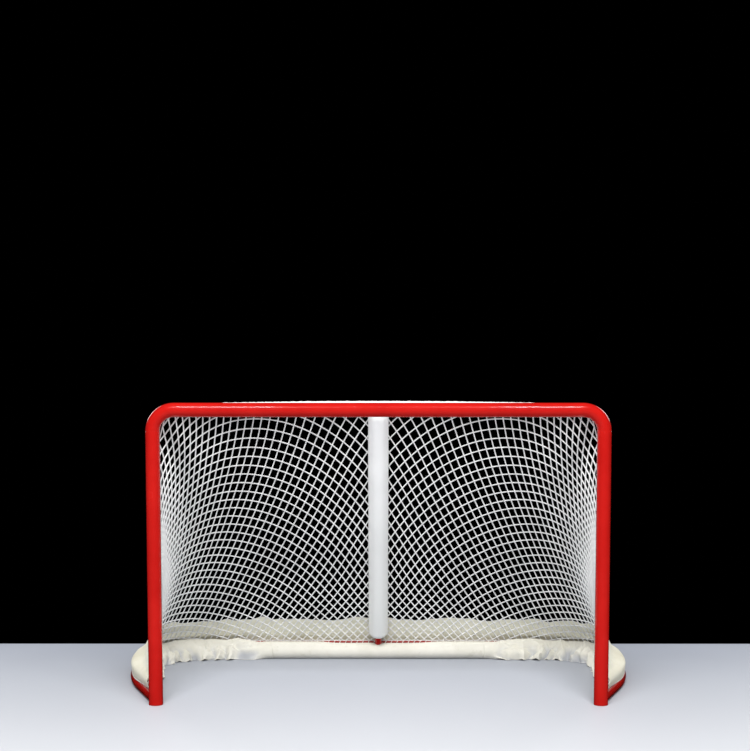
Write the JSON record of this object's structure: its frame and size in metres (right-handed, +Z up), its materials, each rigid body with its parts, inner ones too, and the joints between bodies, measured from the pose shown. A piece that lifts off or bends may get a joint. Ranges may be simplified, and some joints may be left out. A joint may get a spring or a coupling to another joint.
{
  "type": "ice hockey goal",
  "caption": "Welded tube goal with a laced diamond net, a sloping padded centre post, a padded base and a canvas skirt; the open front takes the puck.",
  "frame": {"origin": "on the ice, at the middle of the goal's footprint", "axes": "+X to the right as a shooter sees the mouth, +Y from the mouth to the back of the net, +Z up"},
  "size_m": [2.2896, 1.118, 1.2803],
  "materials": {
    "red_paint": "gloss",
    "rod_paint": "satin",
    "zinc_plate": "satin",
    "white_net_cord": "matt braided cord",
    "white_lace": "matt braided cord",
    "white_vinyl": "satin",
    "white_canvas": "matt woven"
  },
  "bodies": {
    "root": {"left_post": "red_paint", "right_post": "red_paint", "left_corner_elbow": "red_paint", "right_corner_elbow": "red_paint", "crossbar": "red_paint", "left_side_rail": "red_paint", "right_side_rail": "red_paint", "left_rear_bend": "red_paint", "right_rear_bend": "red_paint", "rear_rail": "red_paint", "left_shelf_arm": "red_paint", "right_shelf_arm": "red_paint", "rear_shelf_bar": "red_paint", "centre_post": "red_paint", "left_peg_socket": "zinc_plate", "right_peg_socket": "zinc_plate", "left_post_lacing_rod": "rod_paint", "right_post_lacing_rod": "rod_paint", "crossbar_lacing_rod": "rod_paint", "rear_base_lacing_rod": "rod_paint", "left_base_lacing_rod": "rod_paint", "right_base_lacing_rod": "rod_paint", "top_net": "white_net_cord", "left_side_net": "white_net_cord", "right_side_net": "white_net_cord", "left_back_net": "white_net_cord", "right_back_net": "white_net_cord", "left_post_lacing": "white_lace", "right_post_lacing": "white_lace", "crossbar_lacing": "white_lace", "shelf_lacing": "white_lace", "base_lacing": "white_lace", "centre_post_pad": "white_vinyl", "centre_pad_lacing": "white_lace", "rear_base_pad": "white_canvas", "left_corner_cover": "white_canvas", "right_corner_cover": "white_canvas", "rear_skirt": "white_canvas", "left_skirt": "white_canvas", "right_skirt": "white_canvas"}
  },
  "joints": []
}
